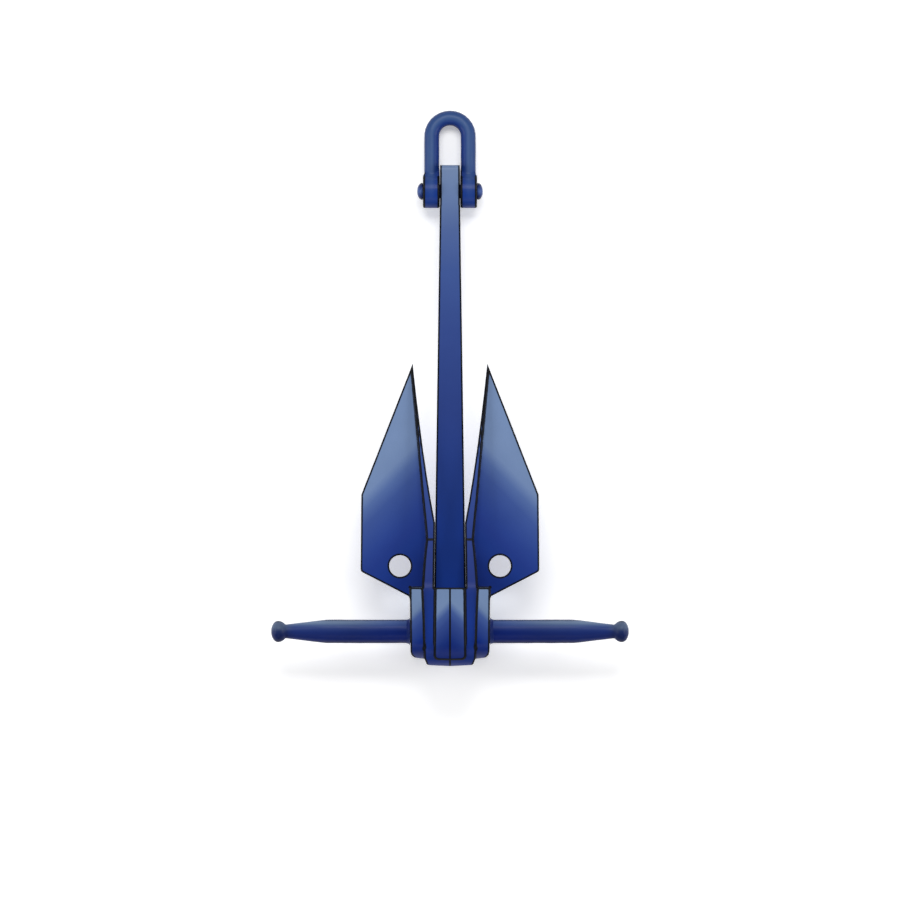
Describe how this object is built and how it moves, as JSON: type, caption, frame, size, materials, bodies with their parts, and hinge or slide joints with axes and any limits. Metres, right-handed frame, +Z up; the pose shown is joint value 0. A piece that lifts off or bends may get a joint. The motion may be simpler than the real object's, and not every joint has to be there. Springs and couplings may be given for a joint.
{
  "type": "twin-fluke stock anchor",
  "caption": "Blue painted steel anchor: two flat pivoting flukes on a hollow cast crown, a long shank, a round stock through the crown and a bow shackle at the head.",
  "frame": {"origin": "middle of the anchor's bounding box, on the ground it lies on", "axes": "+Y from the crown to the shackle, X along the stock, +Z up off the ground"},
  "size_m": [1.323, 2.0564, 0.36],
  "materials": {
    "cast_paint": "blue paint on cast steel, satin, lighter towards the fluke tips",
    "forged_paint": "deep blue paint on forged steel, satin to gloss",
    "shackle_paint": "blue paint on forged steel, satin",
    "weld_paint": "blue paint over a rippled weld bead",
    "bush_steel": "turned and greased, dull"
  },
  "bodies": {
    "head": {"crown_and_flukes": "cast_paint", "stock": "forged_paint", "pivot_bush_left": "bush_steel", "pivot_bush_right": "bush_steel", "stock_weld_left": "weld_paint", "stock_weld_right": "weld_paint"},
    "shank": {"shank": "forged_paint"},
    "shackle": {"shackle_bow": "shackle_paint", "shackle_pin": "shackle_paint"}
  },
  "joints": [
    {"name": "shank_swing", "type": "hinge", "parent": "head", "child": "shank", "pos_m": [0, -0.90031, 0.18], "axis": [1, 0, 0], "range_deg": [-26.8, 35.1]},
    {"name": "shackle_swing", "type": "hinge", "parent": "shank", "child": "shackle", "pos_m": [0, 0.72842, 0.062], "axis": [1, 0, 0], "range_deg": [-142, 147.9]}
  ]
}
